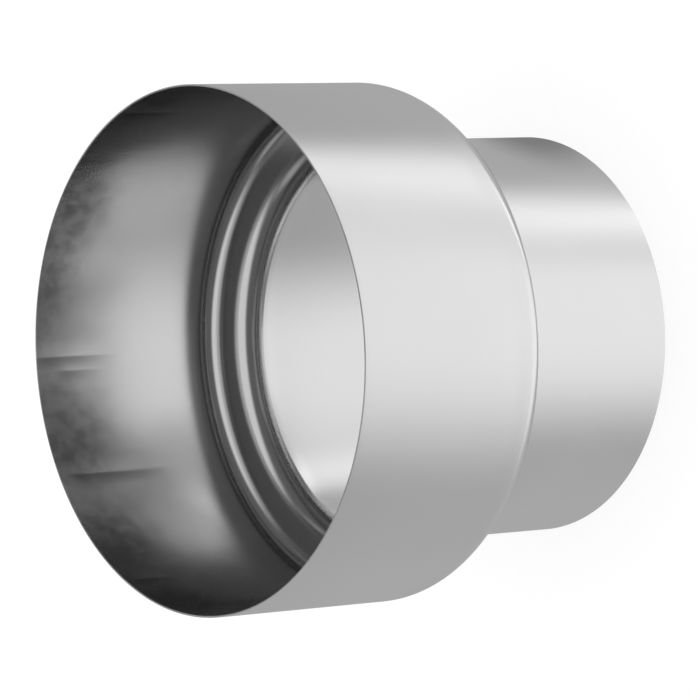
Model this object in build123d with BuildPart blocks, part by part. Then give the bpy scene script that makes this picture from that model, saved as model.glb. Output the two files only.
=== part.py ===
"""Round duct reducer: a wide collar and a narrow collar, joined by a pressed shoulder.

The whole fitting is one steel sheet, so it is one solid: a section of even thickness,
turned about the duct's axis. It stands on the narrow collar's rim with the wide mouth
up, and the origin is the middle of the ring that it stands on.
"""

import os

from build123d import *

# Sheet
sheet_thickness = 0.6
edge_chamfer = 0.1

# Collars, measured over the outside of the sheet; the narrow one slides into a 125 mm duct
wide_diameter = 160.0
narrow_diameter = 124.5
wide_length = 70.2
narrow_length = 65.3

# Bends of the shoulder, measured on the side where the sheet bulges
wide_bend_radius = 5.8
neck_bend_radius = 7.2

wide_radius = wide_diameter / 2
narrow_radius = narrow_diameter / 2
total_height = narrow_length + wide_length

# The sheet's outside, from the narrow rim up to the wide rim
outside_points = [
    (narrow_radius, 0),
    (narrow_radius, narrow_length),
    (wide_radius, narrow_length),
    (wide_radius, total_height),
]
outside_bends = [neck_bend_radius - sheet_thickness, wide_bend_radius]

with BuildPart() as duct_reducer:
    with BuildSketch(Plane.XZ) as sheet_section:
        with BuildLine():
            FilletPolyline(*outside_points, radius=outside_bends)
            offset(amount=sheet_thickness, side=Side.LEFT)
        make_face()
    revolve(axis=Axis.Z)

    # The cut edges of both rims are lightly deburred
    rims = duct_reducer.faces().filter_by(GeomType.PLANE).sort_by(Axis.Z)
    chamfer(rims[0].edges() + rims[-1].edges(), edge_chamfer)

duct_reducer.part.label = "duct_reducer"

os.makedirs("parts", exist_ok=True)
export_step(duct_reducer.part, "parts/duct_reducer.step")
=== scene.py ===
# %% [markdown]
# # A round duct reducer in bare steel sheet
#
# The real fitting joins a wide round duct to a narrower one. It is one thin steel sheet:
# a wide collar, a pressed shoulder with two bends, and a narrow collar. There is nothing
# on it to hide behind, so the render depends on three things: a section with the right
# bends, a satin metal, and a studio that the metal can reflect.
#
# The CAD model is loaded first as a fixed frame. Every piece made here is in metres and in
# the same place as its CAD solid.

# %% The frame
import math

import bpy
from mathutils import Matrix, Vector


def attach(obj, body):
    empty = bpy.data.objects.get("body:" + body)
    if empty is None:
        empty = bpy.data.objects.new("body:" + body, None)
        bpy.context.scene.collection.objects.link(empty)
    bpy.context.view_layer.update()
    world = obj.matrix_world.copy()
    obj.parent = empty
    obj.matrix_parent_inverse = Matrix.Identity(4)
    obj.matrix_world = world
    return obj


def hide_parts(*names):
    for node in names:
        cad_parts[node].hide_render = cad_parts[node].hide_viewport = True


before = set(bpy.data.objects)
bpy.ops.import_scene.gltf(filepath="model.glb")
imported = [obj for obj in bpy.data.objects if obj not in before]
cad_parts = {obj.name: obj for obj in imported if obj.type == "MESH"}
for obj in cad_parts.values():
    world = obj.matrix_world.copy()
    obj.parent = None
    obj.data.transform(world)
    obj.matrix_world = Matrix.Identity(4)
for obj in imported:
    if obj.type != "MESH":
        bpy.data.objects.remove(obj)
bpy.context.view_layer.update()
scene = bpy.context.scene
scene.view_settings.view_transform = "Standard"

# %% [markdown]
# ## The sizes of the sheet
#
# These are the CAD model's own sizes, written again in metres. The reducer stands on the
# rim of its narrow collar, with the wide mouth up, and its axis is the world's Z axis.
# The bends are measured on the side where the sheet bulges.

# %% Sizes
MM = 0.001
SHEET_THICKNESS = 0.6 * MM
WIDE_RADIUS = 80.0 * MM
NARROW_RADIUS = 62.25 * MM
WIDE_LENGTH = 70.2 * MM
NARROW_LENGTH = 65.3 * MM
WIDE_BEND = 5.8 * MM
NECK_BEND = 7.2 * MM
RIM_ROUNDING = 0.1 * MM
TOTAL_HEIGHT = NARROW_LENGTH + WIDE_LENGTH
print("the reducer is", round(TOTAL_HEIGHT / MM, 1), "mm high")

# %% [markdown]
# ## The camera
#
# The photograph looks into the wide mouth from a distance, with the fitting's axis lying
# across the picture. The axis is turned about 50 degrees away from the line of sight,
# and its far end is a little higher. The camera's place was found by fitting the
# outlines of the mouth, the shoulder and the narrow rim, so it is written here as what
# the camera sees: where the mouth is, and which way the axis runs, in the camera's own
# axes. A small turn of those axes gives the camera's place in the world.

# %% The camera's place
AXIS_TURN = math.radians(50.10)
AXIS_RISE = math.radians(2.385)
MOUTH_IN_VIEW = Vector((-0.5855, -0.0053, -18.514)) * WIDE_RADIUS
LENS_MM = 254.2

down_the_duct = Vector((
    math.sin(AXIS_TURN) * math.cos(AXIS_RISE),
    math.sin(AXIS_RISE),
    -math.cos(AXIS_TURN) * math.cos(AXIS_RISE),
))
towards_lens = Vector((0, 0, 1))
world_z = -down_the_duct
world_y = -(towards_lens - towards_lens.dot(down_the_duct) * down_the_duct).normalized()
world_x = world_y.cross(world_z)
turn_to_world = Matrix((world_x, world_y, world_z))
mouth_centre = Vector((0, 0, TOTAL_HEIGHT))

lens = bpy.data.cameras.new("photo_camera")
lens.lens = LENS_MM
camera = bpy.data.objects.new("photo_camera", lens)
camera_place = mouth_centre - turn_to_world @ MOUTH_IN_VIEW
camera.matrix_world = Matrix.Translation(camera_place) @ turn_to_world.to_4x4()
scene.collection.objects.link(camera)
scene.camera = camera
print("camera stands at", [round(step, 3) for step in camera_place])

# %% [markdown]
# ## Helpers for node trees
#
# Both the shape and the finishes are node trees. A wrapped socket lets sums be written as
# sums, and one method makes any other node from its type, its settings and its inputs.

# %% A socket that can be added and multiplied
class Wire:
    """One output of a node. Sums on it add Math nodes to its tree."""

    def __init__(self, bench, output):
        self.bench = bench
        self.output = output

    def math(self, operation, *numbers):
        values = dict(enumerate((self, *numbers)))
        return self.bench.node("ShaderNodeMath", {"operation": operation}, values)

    def beside(self, name):
        """Another output of the same node."""
        return Wire(self.bench, self.output.node.outputs[name])

    def __add__(self, other):
        return self.math("ADD", other)

    def __radd__(self, other):
        return self.math("ADD", other)

    def __sub__(self, other):
        return self.math("SUBTRACT", other)

    def __rsub__(self, other):
        return (self * -1.0) + other

    def __mul__(self, other):
        return self.math("MULTIPLY", other)

    def __rmul__(self, other):
        return self.math("MULTIPLY", other)

    def __truediv__(self, other):
        return self.math("DIVIDE", other)


# %% The bench that makes the nodes
class Bench:
    """Makes and links the nodes of one tree."""

    def __init__(self, tree):
        self.tree = tree

    def node(self, kind, settings=None, inputs=None, output=0):
        """A node of that kind, as a wire from one of its outputs."""
        made = self.tree.nodes.new(kind)
        for name, setting in (settings or {}).items():
            if name == "items":
                for _ in range(setting - len(made.index_switch_items)):
                    made.index_switch_items.new()
            else:
                setattr(made, name, setting)
        for name, value in (inputs or {}).items():
            self.fill(made.inputs[name], value)
        return Wire(self, made.outputs[output]) if len(made.outputs) else made

    def fill(self, socket, value):
        """Links a wire to the socket, or sets a plain value on it."""
        if isinstance(value, Wire):
            self.tree.links.new(value.output, socket)
        else:
            socket.default_value = value

    def mix(self, factor, low, high):
        """A number between low and high."""
        values = {"Factor": factor, "A": low, "B": high}
        return self.node("ShaderNodeMix", {"data_type": "FLOAT"}, values)


def plain_colour(level):
    """The same level in red, green and blue, as a colour socket takes it."""
    return (level, level, level, 1.0)


# %% [markdown]
# ## The pressed sheet
#
# A press or a spinning lathe makes this shape by forcing a flat blank or a tube over a
# round tool, so the wall has one thickness everywhere and every bend is an arc. That is a
# rule, so Geometry Nodes can make it: eight corners give the sheet's closed section, each
# corner gets its own bend radius, the straight runs are divided so that no face is long
# and thin, and a circle carries the section round the axis.
#
# The section starts at the narrow rim and goes up the outside, then back down the inside.
# Corners 4 to 7 are on the inside, and they carry a mark that the metal's finish reads.

# %% The tree's inputs
RIM_FACETS = 3
BEND_FACETS = 16
STEPS_AROUND = 288
WALL_STEP = 2.5 * MM


def add_inputs(tree, sizes):
    """Named inputs of the tree, one for each size, and its material and output."""
    for name, size in sizes.items():
        kind = "NodeSocketInt" if isinstance(size, int) else "NodeSocketFloat"
        tree.interface.new_socket(name, in_out="INPUT", socket_type=kind)
    tree.interface.new_socket("Finish", in_out="INPUT", socket_type="NodeSocketMaterial")
    tree.interface.new_socket("Sheet", in_out="OUTPUT", socket_type="NodeSocketGeometry")


sheet_sizes = {
    "Wide Radius": WIDE_RADIUS,
    "Narrow Radius": NARROW_RADIUS,
    "Narrow Length": NARROW_LENGTH,
    "Total Height": TOTAL_HEIGHT,
    "Thickness": SHEET_THICKNESS,
    "Wide Bend": WIDE_BEND,
    "Neck Bend": NECK_BEND,
    "Rim Rounding": RIM_ROUNDING,
    "Wall Step": WALL_STEP,
    "Rim Facets": RIM_FACETS,
    "Bend Facets": BEND_FACETS,
    "Steps Around": STEPS_AROUND,
}
sheet_tree = bpy.data.node_groups.new("turned_sheet", "GeometryNodeTree")
add_inputs(sheet_tree, sheet_sizes)
print("the sheet's tree takes", len(sheet_sizes), "sizes and a finish")

# %% Radius, height and bend of each corner
bench = Bench(sheet_tree)
given = bench.node("NodeGroupInput")
thickness = given.beside("Thickness")
wide_radius = given.beside("Wide Radius")
narrow_radius = given.beside("Narrow Radius")
shoulder = given.beside("Narrow Length")
height = given.beside("Total Height")
neck_bend = given.beside("Neck Bend")
wide_bend = given.beside("Wide Bend")
rim = given.beside("Rim Rounding")
rim_facets = given.beside("Rim Facets")
bend_facets = given.beside("Bend Facets")


def by_corner(kind, choices):
    """A value picked by the number of the section's corner."""
    corner = bench.node("GeometryNodeInputIndex")
    picks = {str(place): choice for place, choice in enumerate(choices)}
    settings = {"data_type": kind, "items": len(choices)}
    return bench.node("GeometryNodeIndexSwitch", settings, {"Index": corner, **picks})


wide_inside = wide_radius - thickness
narrow_inside = narrow_radius - thickness
shoulder_top = shoulder + thickness
corner_radius = by_corner("FLOAT", [
    narrow_radius, narrow_radius, wide_radius, wide_radius,
    wide_inside, wide_inside, narrow_inside, narrow_inside,
])
corner_height = by_corner("FLOAT", [
    0.0, shoulder, shoulder, height,
    height, shoulder_top, shoulder_top, 0.0,
])
corner_bend = by_corner("FLOAT", [
    rim, neck_bend - thickness, wide_bend, rim,
    rim, wide_bend - thickness, neck_bend, rim,
])
corner_facets = by_corner("INT", [
    rim_facets, bend_facets, bend_facets, rim_facets,
    rim_facets, bend_facets, bend_facets, rim_facets,
])
inside_mark = by_corner("FLOAT", [0.0, 0.0, 0.0, 0.0, 1.0, 1.0, 1.0, 1.0])
print("the section's corners take", len(sheet_tree.nodes), "nodes")

# %% The closed section, with its mark and its bends
CORNERS = 8
corners = bench.node("GeometryNodeMeshLine", {"mode": "OFFSET"}, {"Count": CORNERS})
open_section = bench.node("GeometryNodeMeshToCurve", None, {"Mesh": corners})
section = bench.node("GeometryNodeSetSplineCyclic", None, {"Geometry": open_section, "Cyclic": True})
corner_place = bench.node(
    "ShaderNodeCombineXYZ", None, {"X": corner_radius - wide_radius, "Y": corner_height * -1.0}
)
placed = bench.node("GeometryNodeSetPosition", None, {"Geometry": section, "Position": corner_place})
marked = bench.node(
    "GeometryNodeStoreNamedAttribute",
    {"data_type": "FLOAT", "domain": "POINT"},
    {"Geometry": placed, "Name": "inner_side", "Value": inside_mark},
)
bent = bench.node(
    "GeometryNodeFilletCurve",
    {"mode": "POLY"},
    {"Curve": marked, "Count": corner_facets, "Radius": corner_bend},
)
print("the section has", CORNERS, "corners and", BEND_FACETS, "facets in each bend")

# %% The straight runs, divided
here = bench.node("GeometryNodeInputPosition")
next_point = bench.node("GeometryNodeOffsetPointInCurve", None, {"Offset": 1}, "Point Index")
there = bench.node(
    "GeometryNodeFieldAtIndex",
    {"data_type": "FLOAT_VECTOR", "domain": "POINT"},
    {"Index": next_point, "Value": here},
)
run_length = bench.node("ShaderNodeVectorMath", {"operation": "DISTANCE"}, {0: here, 1: there}, "Value")
cuts = (run_length / given.beside("Wall Step")).math("FLOOR")
divided = bench.node("GeometryNodeSubdivideCurve", None, {"Curve": bent, "Cuts": cuts})
print("a straight run is cut every", round(WALL_STEP / MM, 1), "mm")

# %% The turn round the axis
rail = bench.node(
    "GeometryNodeCurvePrimitiveCircle",
    {"mode": "RADIUS"},
    {"Resolution": given.beside("Steps Around"), "Radius": wide_radius},
)
turned = bench.node("GeometryNodeCurveToMesh", None, {"Curve": rail, "Profile Curve": divided})
smooth = bench.node("GeometryNodeSetShadeSmooth", None, {"Geometry": turned, "Shade Smooth": True})
real = bench.node("GeometryNodeRealizeInstances", None, {"Geometry": smooth})
finished = bench.node(
    "GeometryNodeSetMaterial", None, {"Geometry": real, "Material": given.beside("Finish")}
)
bench.node("NodeGroupOutput", None, {"Sheet": finished})
print("the sheet's tree has", len(sheet_tree.nodes), "nodes")

# %% [markdown]
# ## The metal
#
# Bare steel sheet is neither a mirror nor matt. It shows its surroundings softly, with a
# sharp change of light blurred over a few degrees. The Principled shader does that with
# Metallic at 1 and a roughness near a fifth.
#
# What makes it steel and not grey paint is small: cloudy patches left by the rolls, dull
# smears and creases inside the mouth, and bends that the tool has rubbed smoother. All of
# it is written as masks on the object's own coordinates and on the mark that the inside
# carries. A mask is 1 where something is and 0 where it isn't.
#
# First come a point's own places: its angle round the axis, its depth below the mouth and
# its height above the shoulder, and the noises that keep every mask from being too even.

# %% Where a point is on the sheet
steel = bpy.data.materials.new("satin_steel_sheet")
steel.use_nodes = True
steel.node_tree.nodes.clear()
bench = Bench(steel.node_tree)
place = bench.node("ShaderNodeTexCoord", None, None, "Object")
east = bench.node("ShaderNodeSeparateXYZ", None, {0: place}, "X")
inside = bench.node("ShaderNodeAttribute", {"attribute_name": "inner_side"}, None, "Fac")
around = east.math("ARCTAN2", east.beside("Y")) * math.degrees(1)
up = east.beside("Z")
depth = (TOTAL_HEIGHT - up) * (1 / MM)
above_shoulder = (up - NARROW_LENGTH) * (1 / MM)
print("a point's places take", len(steel.node_tree.nodes), "nodes")

# %% Masks and noises
NOISE_ROUGHNESS = 0.55


def fade(value, full, gone):
    """1 where the value is at full, falling to 0 where it is at gone."""
    limits = {"Value": value, "From Min": gone, "From Max": full}
    return bench.node("ShaderNodeMapRange", {"interpolation_type": "SMOOTHSTEP"}, limits)


def noise(stretch, scale, detail):
    """Cloudy noise on the sheet's own coordinates, stretched along the axis."""
    squeezed = bench.node("ShaderNodeMapping", None, {"Vector": place, "Scale": (1, 1, stretch)})
    inputs = {"Vector": squeezed, "Scale": scale, "Detail": detail, "Roughness": NOISE_ROUGHNESS}
    return bench.node("ShaderNodeTexNoise", None, inputs)


def away_from(angle, value):
    """Degrees round the axis from an angle, between -180 and 180."""
    return (value - angle).math("WRAP", 180.0, -180.0)


clouds = noise(stretch=1.0, scale=24.0, detail=3.0) - 0.5
uneven = noise(stretch=0.6, scale=60.0, detail=3.0) - 0.5
streaks = noise(stretch=0.08, scale=110.0, detail=2.0) - 0.5
mottle = fade(noise(stretch=0.8, scale=210.0, detail=2.0), full=0.62, gone=0.38)
print("places and noises take", len(steel.node_tree.nodes), "nodes")

# %% [markdown]
# ## The smears of the mouth
#
# The mouth is widened by an expander, whose jaws press from within. They leave a dull band
# just below the rim, and darker smears where each jaw rubbed. A painted texture could show
# them, but ovals with ragged edges are enough, and they need no picture. Each oval has its
# own place, because real ones never repeat.

# %% Smears: angle, depth in mm, half width in degrees, half depth in mm
SMEARS = [
    (-18, 9, 15, 19),
    (36, 6, 14, 18),
    (19, 0, 14, 12),
    (-44, 12, 15, 18),
    (80, 8, 17, 15),
    (123, 9, 13, 18),
    (168, 6, 19, 13),
    (-150, 11, 13, 18),
    (-108, 7, 16, 14),
    (-74, 10, 10, 17),
]
SMEAR_STRENGTH = 0.8
SMEAR_CORE = 0.15
SMEAR_REACH = 1.3
RAGGED_DEGREES = 16
RAGGED_MM = 12
BAND_STRENGTH = 0.4
BAND_FULL_MM = 3
BAND_GONE_MM = 21
BAND_RAGGED_MM = 14

band = fade(depth + uneven * BAND_RAGGED_MM, BAND_FULL_MM, BAND_GONE_MM)
clean = 1.0 - band * BAND_STRENGTH
for angle, middle, half_width, half_depth in SMEARS:
    across = away_from(angle, around + uneven * RAGGED_DEGREES) / half_width
    along = (depth + uneven * RAGGED_MM - middle) / half_depth
    distance = (across * across + along * along).math("SQRT")
    clean = clean * (1.0 - fade(distance, SMEAR_CORE, SMEAR_REACH) * SMEAR_STRENGTH)
smeared = (1.0 - clean) * inside
print(len(SMEARS), "smears")

# %% [markdown]
# ## The creases between the jaws
#
# Wherever the gap between two jaws was, the sheet wasn't pressed, and a faint crease runs
# down the wall. Its slope catches light on one side and loses it on the other, with a
# sharp step between the two. The real crease is too shallow to need geometry, so its light
# and shade are painted into the metal's grey by two masks, a painted highlight and a painted
# shade: both start at the step and each fades out on its own side.

# %% Creases: angle, and the depths in mm that each one runs between
CREASES = [
    (0.6, 0, 34),
    (-2.6, 9, 30),
    (-27.0, 5, 44),
    (37.0, 3, 16),
    (68.0, 0, 28),
    (106.0, 4, 38),
    (143.0, 0, 30),
    (-176.0, 3, 24),
    (-139.0, 0, 40),
    (-98.0, 0, 30),
    (-60.0, 4, 22),
]
MM_PER_DEGREE = math.radians(WIDE_RADIUS / MM)
BRIGHT_STEP = (0.4, -0.3)
BRIGHT_TAIL = (0.8, 7.0)
DARK_STEP = (-0.4, 0.3)
DARK_TAIL = (-0.8, -5.0)
WANDER_DEGREES = 0.8
START_SOFT_MM = 4
END_SOFT_MM = 20

# Each crease paints a highlight on one side and a shade on the other into the metal's grey.
crease_painted_highlight = 0.0
crease_painted_shade = 0.0
for angle, start, end in CREASES:
    sideways = away_from(angle, around + uneven * WANDER_DEGREES) * MM_PER_DEGREE
    lower_end = fade(depth + uneven * RAGGED_MM, end - END_SOFT_MM, end)
    upper_end = fade(depth, start + START_SOFT_MM, start - START_SOFT_MM)
    reach = lower_end * upper_end
    crease_painted_highlight = fade(sideways, *BRIGHT_STEP) * fade(sideways, *BRIGHT_TAIL) * reach + crease_painted_highlight
    crease_painted_shade = fade(sideways, *DARK_STEP) * fade(sideways, *DARK_TAIL) * reach + crease_painted_shade
crease_painted_highlight = crease_painted_highlight * inside
crease_painted_shade = crease_painted_shade * inside
print(len(CREASES), "creases")

# %% [markdown]
# ## The steel itself
#
# The masks come together in three things: how dark the metal is, how rough it is, and how
# its surface waves. A smeared place is darker and rougher. The bends are a little smoother
# than the walls, and a line of painted shade darkens the fold, where the wide bend meets the
# wall. The creases' painted highlight and painted shade lighten and darken the grey.
# The waves are streaks along the axis, as a drawn sheet has, and strongest near the mouth.
#
# All roughness stays below about 0.27. Where it went above that, the denoiser drew thin
# lines like cracks.

# %% Bends and fold, as heights above the shoulder in mm
BENDS_TOP = (2.5, 5.5)
BENDS_FOOT = (-8.0, -13.0)
FOLD_HEIGHT = 7.0
FOLD_SOFT = (1.5, 7.0)
FOLD_SHADE_HEIGHT = 4.7
FOLD_SHADE_SOFT = (0.6, 2.0)

on_bends = fade(above_shoulder, *BENDS_TOP) * fade(above_shoulder, *BENDS_FOOT)
at_fold = fade((above_shoulder - FOLD_HEIGHT).math("ABSOLUTE"), *FOLD_SOFT)
# A line of painted shade in the fold, where the wide bend meets the wall.
fold_painted_shade = fade((above_shoulder - FOLD_SHADE_HEIGHT).math("ABSOLUTE"), *FOLD_SHADE_SOFT) * inside
print("the bends' mask ends", BENDS_TOP[1], "mm above the shoulder")

# %% How dark the metal is
METAL_GREY = 0.58
CLOUDS_IN_GREY = 0.05
SMEAR_DARKENS = 0.62
MOTTLE_DARKENS = 0.16
FOLD_SHADE_DARKENS = 0.5
CREASE_SHADE_DARKENS = 0.38
CREASE_HIGHLIGHT_BRIGHTENS = 0.35

clean_grey = METAL_GREY + clouds * CLOUDS_IN_GREY
smear_dimming = 1.0 - smeared * (mottle * MOTTLE_DARKENS + SMEAR_DARKENS)
# The fold's painted shade darkens the grey here.
fold_shade_dimming = 1.0 - fold_painted_shade * FOLD_SHADE_DARKENS
# The creases' painted shade and painted highlight scale the grey here.
crease_shade_dimming = 1.0 - crease_painted_shade * CREASE_SHADE_DARKENS
crease_glint = 1.0 + crease_painted_highlight * CREASE_HIGHLIGHT_BRIGHTENS
grey = clean_grey * (smear_dimming * fold_shade_dimming) * crease_shade_dimming * crease_glint
colour = bench.node("ShaderNodeCombineColor", None, {"Red": grey, "Green": grey, "Blue": grey})
print("clean steel has a grey of", METAL_GREY)

# %% How rough it is, and its waves
WALL_ROUGHNESS = 0.21
CLOUDS_IN_ROUGHNESS = 0.04
PATCHES_IN_ROUGHNESS = 0.02
FOLD_IN_ROUGHNESS = 0.03
BEND_ROUGHNESS = 0.18
SMEAR_ROUGHNESS = 0.26
MOUTH_WAVES = 0.14
WALL_WAVES = 0.03
WAVES_FULL_DEPTH = 4.0
WAVES_GONE_DEPTH = 40.0

wall_rough = WALL_ROUGHNESS + clouds * CLOUDS_IN_ROUGHNESS + uneven * PATCHES_IN_ROUGHNESS
rough = bench.mix(on_bends, wall_rough + at_fold * FOLD_IN_ROUGHNESS, BEND_ROUGHNESS)
rough = bench.mix(smeared, rough, SMEAR_ROUGHNESS)
mouth_side = inside * fade(depth, WAVES_FULL_DEPTH, WAVES_GONE_DEPTH)
waves = streaks * (mouth_side * MOUTH_WAVES + (1.0 - at_fold) * WALL_WAVES)
bump = bench.node("ShaderNodeBump", None, {"Strength": 1.0, "Distance": MM, "Height": waves})
metal = bench.node(
    "ShaderNodeBsdfPrincipled",
    None,
    {"Base Color": colour, "Metallic": 1.0, "Roughness": rough, "Normal": bump},
)
bench.node("ShaderNodeOutputMaterial", None, {"Surface": metal})
print("finish", steel.name, "has", len(steel.node_tree.nodes), "nodes")

# %% [markdown]
# ## The shell
#
# A Geometry Nodes modifier needs an object to sit on, so an empty mesh carries it. Its
# sizes are set by each input's identifier, before the object is first worked out. A
# Weighted Normal after it keeps the flat walls flat right up to the bends, so that the
# reflections in the walls don't curl at their ends. The result is copied out as a plain
# mesh, and the object that made it goes.

# %% The object that makes the shell
seed_mesh = bpy.data.meshes.new("reducer_shell_seed")
maker = bpy.data.objects.new("reducer_shell_maker", seed_mesh)
scene.collection.objects.link(maker)
turning = maker.modifiers.new("turned_sheet", "NODES")
turning.node_group = sheet_tree
for entry in sheet_tree.interface.items_tree:
    if entry.in_out == "INPUT":
        turning[entry.identifier] = steel if entry.name == "Finish" else sheet_sizes[entry.name]
weighting = maker.modifiers.new("flat_walls_stay_flat", "WEIGHTED_NORMAL")
weighting.keep_sharp = False
bpy.context.view_layer.update()
print("modifiers on the maker:", [modifier.name for modifier in maker.modifiers])

# %% The shell as a plain mesh
worked_out = bpy.context.evaluated_depsgraph_get()
made = maker.evaluated_get(worked_out)
shell_mesh = bpy.data.meshes.new_from_object(made, preserve_all_data_layers=True, depsgraph=worked_out)
shell_mesh.name = "reducer_shell"
bpy.data.objects.remove(maker)

shell = bpy.data.objects.new("reducer_shell", shell_mesh)
scene.collection.objects.link(shell)
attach(shell, "root")
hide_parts("duct_reducer")
print("the shell has", len(shell_mesh.polygons), "faces, attributes", list(shell_mesh.attributes.keys()))

# %% [markdown]
# ## The floor
#
# A pale floor meets the narrow rim and keeps a soft shadow of the fitting. Most of its
# white is its own light, so it stays white under any lamp. The metal looks through it at
# the studio's lower half, as it would over a glass table. Inside the narrow rim one side
# of that table is dimmed, because there the fitting stands in its own shade, and the
# metal on the inside shows it.

# %% The floor's mesh
FLOOR_HALF = 3.0
floor_mesh = bpy.data.meshes.new("pale_floor")
floor_corners = [
    (-FLOOR_HALF, -FLOOR_HALF, 0.0),
    (FLOOR_HALF, -FLOOR_HALF, 0.0),
    (FLOOR_HALF, FLOOR_HALF, 0.0),
    (-FLOOR_HALF, FLOOR_HALF, 0.0),
]
floor_mesh.from_pydata(floor_corners, [], [(0, 1, 2, 3)])
floor = bpy.data.objects.new("pale_floor", floor_mesh)
scene.collection.objects.link(floor)
print("floor is", 2 * FLOOR_HALF, "m square")

# %% The floor's own light, its shadow and what the metal sees through it
FLOOR_GLOW = 0.8
FLOOR_GREY = 0.28
SHADE_LEVEL = 0.5
SHADE_MIDDLE = (52 * MM, -4 * MM, 0.0)
SHADE_CORE = 12 * MM
SHADE_EDGE = 36 * MM

floor_white = bpy.data.materials.new("pale_floor")
floor_white.use_nodes = True
floor_white.node_tree.nodes.clear()
bench = Bench(floor_white.node_tree)
ray = bench.node("ShaderNodeLightPath", None, None, "Is Glossy Ray")
own_light = bench.node("ShaderNodeEmission", None, {"Color": plain_colour(1.0), "Strength": FLOOR_GLOW})
shaded = bench.node("ShaderNodeBsdfDiffuse", None, {"Color": plain_colour(FLOOR_GREY)})
seen = bench.node("ShaderNodeAddShader", None, {0: own_light, 1: shaded})
clear = bench.node("ShaderNodeBsdfTransparent", None, {"Color": plain_colour(1.0)})
dimmed = bench.node("ShaderNodeBsdfTransparent", None, {"Color": plain_colour(SHADE_LEVEL)})
spot = bench.node("ShaderNodeTexCoord", None, None, "Object")
measured = {0: spot, 1: SHADE_MIDDLE}
to_shade = bench.node("ShaderNodeVectorMath", {"operation": "DISTANCE"}, measured, "Value")
shade = fade(to_shade, SHADE_CORE, SHADE_EDGE)
mirrored = bench.node("ShaderNodeMixShader", None, {0: shade, 1: clear, 2: dimmed})
through = ray.math("MAXIMUM", ray.beside("Is Transmission Ray"))
surface = bench.node("ShaderNodeMixShader", None, {0: through, 1: seen, 2: mirrored})
bench.node("ShaderNodeOutputMaterial", None, {"Surface": surface})
floor_mesh.materials.append(floor_white)
print("finish", floor_white.name, "has", len(floor_white.node_tree.nodes), "nodes")

# %% [markdown]
# ## The studio
#
# Metal is mostly a picture of the room. The photograph's greys tell what this room holds:
# pale paper below, with a broad glow on the camera's side and a bright strip beside it
# whose edge is sharp, which gives the walls their sudden jump from grey to white. Higher
# up there is a low window, side light with two banners, a dim panel at the rear, a dark
# belt, and a lit panel straight over the mouth, which draws the two bright rings in the
# shoulder's bends.
#
# Each is a soft panel, written by compass bearing, from the camera's side towards the
# east, and by height, both in degrees. The strip's edge leans, because in a real room it
# is near and its place shifts along the fitting.
#
# The first values for the panels that the photograph shows were fitted to its greys with
# a small ray tracer. They were rounded, and many were then changed by eye after renders.
# The panels that it doesn't show were given without a fit.

# %% The room's lights
PAPER_LIGHT = 0.63
FAR_PAPER_LIGHT = 0.42
GLOW_LIGHT = 0.76
STRIP_LIGHT = 1.35
WINDOW_LIGHT = 1.0
REAR_LIGHT = 0.4
OVERHEAD_LIGHT = 0.95
BELT_LIGHT = 0.15
SIDE_LIGHT = 0.32
BANNER_LIGHT = 0.65
UNMIRRORED_LIGHT = 0.9
print("the strip adds", round(STRIP_LIGHT / BELT_LIGHT), "times the belt's light")

# %% The panels' limits and the softness of their edges, in degrees
FAR_FROM = 150
FAR_SOFT = 80
PAPER_TOP = -35
PAPER_TOP_SOFT = 8
GLOW_BEARINGS = (-42, 52)
GLOW_SOFT = (56, 14)
STRIP_BEARINGS = (64, 86)
STRIP_SOFT = (32, 4)
SLANT = 26
SLANT_HEIGHT = -41
SLANT_SOFT = 12
WINDOW_BEARINGS = (-12, 61)
WINDOW_BEARINGS_SOFT = (16, 16)
WINDOW_HEIGHTS = (-31, -18)
WINDOW_HEIGHTS_SOFT = (8, 8)
REAR_BEARINGS = (-105, 125)
REAR_BEARINGS_SOFT = (20, 20)
REAR_HEIGHTS = (-26, 50)
REAR_HEIGHTS_SOFT = (8, 8)
OVERHEAD_FROM = 59
OVERHEAD_SOFT = 12
SIDE_HEIGHTS = (-27, 14)
SIDE_HEIGHTS_SOFT = (10, 12)
BANNER_BEARINGS = (48, 104)
BANNER_SOFT = (24, 24)
SECOND_BANNER_TURN = -160
print("the strip is", STRIP_BEARINGS[1] - STRIP_BEARINGS[0], "degrees wide")

# %% Bearing and height of what a ray looks at
room = bpy.data.worlds.new("studio_room")
scene.world = room
room.use_nodes = True
room.node_tree.nodes.clear()
bench = Bench(room.node_tree)


def edge(angle, middle, soft):
    """Rises from 0 to 1 as the angle passes the middle."""
    return fade(angle, middle + soft / 2, middle - soft / 2)


def panel(angle, limits, soft):
    """1 between two angles and 0 outside them, with each edge's own softness."""
    low_soft, high_soft = soft
    return edge(angle, limits[0], low_soft) * (1.0 - edge(angle, limits[1], high_soft))


looking = bench.node("ShaderNodeTexCoord", None, None, "Generated")
eastward = bench.node("ShaderNodeSeparateXYZ", None, {0: looking}, "X")
bearing = eastward.math("ARCTAN2", eastward.beside("Y") * -1.0) * math.degrees(1)
height_up = eastward.beside("Z").math("ARCSINE") * math.degrees(1)
print("bearing and height take", len(room.node_tree.nodes), "nodes")

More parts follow.
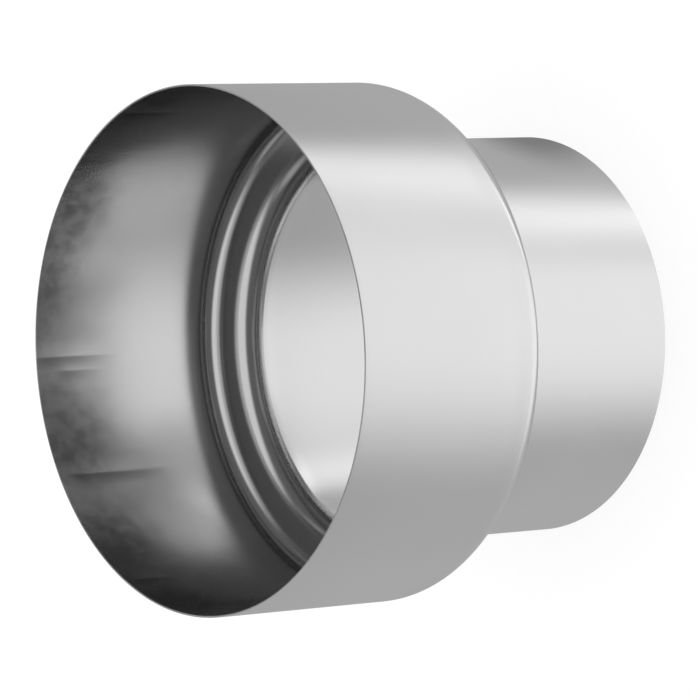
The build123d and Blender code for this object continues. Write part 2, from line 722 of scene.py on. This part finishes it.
# %% The panels
far_side = edge(bearing.math("ABSOLUTE"), FAR_FROM, FAR_SOFT)
above_paper = edge(height_up, PAPER_TOP, PAPER_TOP_SOFT)
overhead = edge(height_up, OVERHEAD_FROM, OVERHEAD_SOFT)
slanted = bearing - (edge(height_up, SLANT_HEIGHT, SLANT_SOFT) - 0.5) * SLANT
glow = panel(slanted, GLOW_BEARINGS, GLOW_SOFT)
strip = panel(slanted, STRIP_BEARINGS, STRIP_SOFT)
window_across = panel(bearing, WINDOW_BEARINGS, WINDOW_BEARINGS_SOFT)
window = window_across * panel(height_up, WINDOW_HEIGHTS, WINDOW_HEIGHTS_SOFT)
second_bearing = away_from(SECOND_BANNER_TURN, bearing)
first_banner = panel(bearing, BANNER_BEARINGS, BANNER_SOFT)
banners = first_banner + panel(second_bearing, BANNER_BEARINGS, BANNER_SOFT)
side = panel(height_up, SIDE_HEIGHTS, SIDE_HEIGHTS_SOFT) * (banners * BANNER_LIGHT + SIDE_LIGHT)
rear_across = 1.0 - panel(bearing, REAR_BEARINGS, REAR_BEARINGS_SOFT)
rear = rear_across * panel(height_up, REAR_HEIGHTS, REAR_HEIGHTS_SOFT)
paper = bench.mix(far_side, PAPER_LIGHT, FAR_PAPER_LIGHT) + glow * GLOW_LIGHT + strip * STRIP_LIGHT
reflected = (
    paper * (1.0 - above_paper)
    + window * WINDOW_LIGHT
    + rear * REAR_LIGHT
    + above_paper * (1.0 - overhead) * BELT_LIGHT
    + overhead * OVERHEAD_LIGHT
    + side
)
print("the panels bring the room's tree to", len(room.node_tree.nodes), "nodes")

# %% The panels for the metal, white for the camera and plain light for the rest
ray = bench.node("ShaderNodeLightPath", None, None, "Is Camera Ray")
backdrop = ray.math("MAXIMUM", ray.beside("Is Transmission Ray"))
others = bench.mix(ray.beside("Is Glossy Ray"), UNMIRRORED_LIGHT, reflected)
strength = bench.mix(backdrop, others, 1.0)
light = bench.node("ShaderNodeBackground", None, {"Color": plain_colour(1.0), "Strength": strength})
bench.node("ShaderNodeOutputWorld", None, {"Surface": light})
print("the room's tree has", len(room.node_tree.nodes), "nodes")
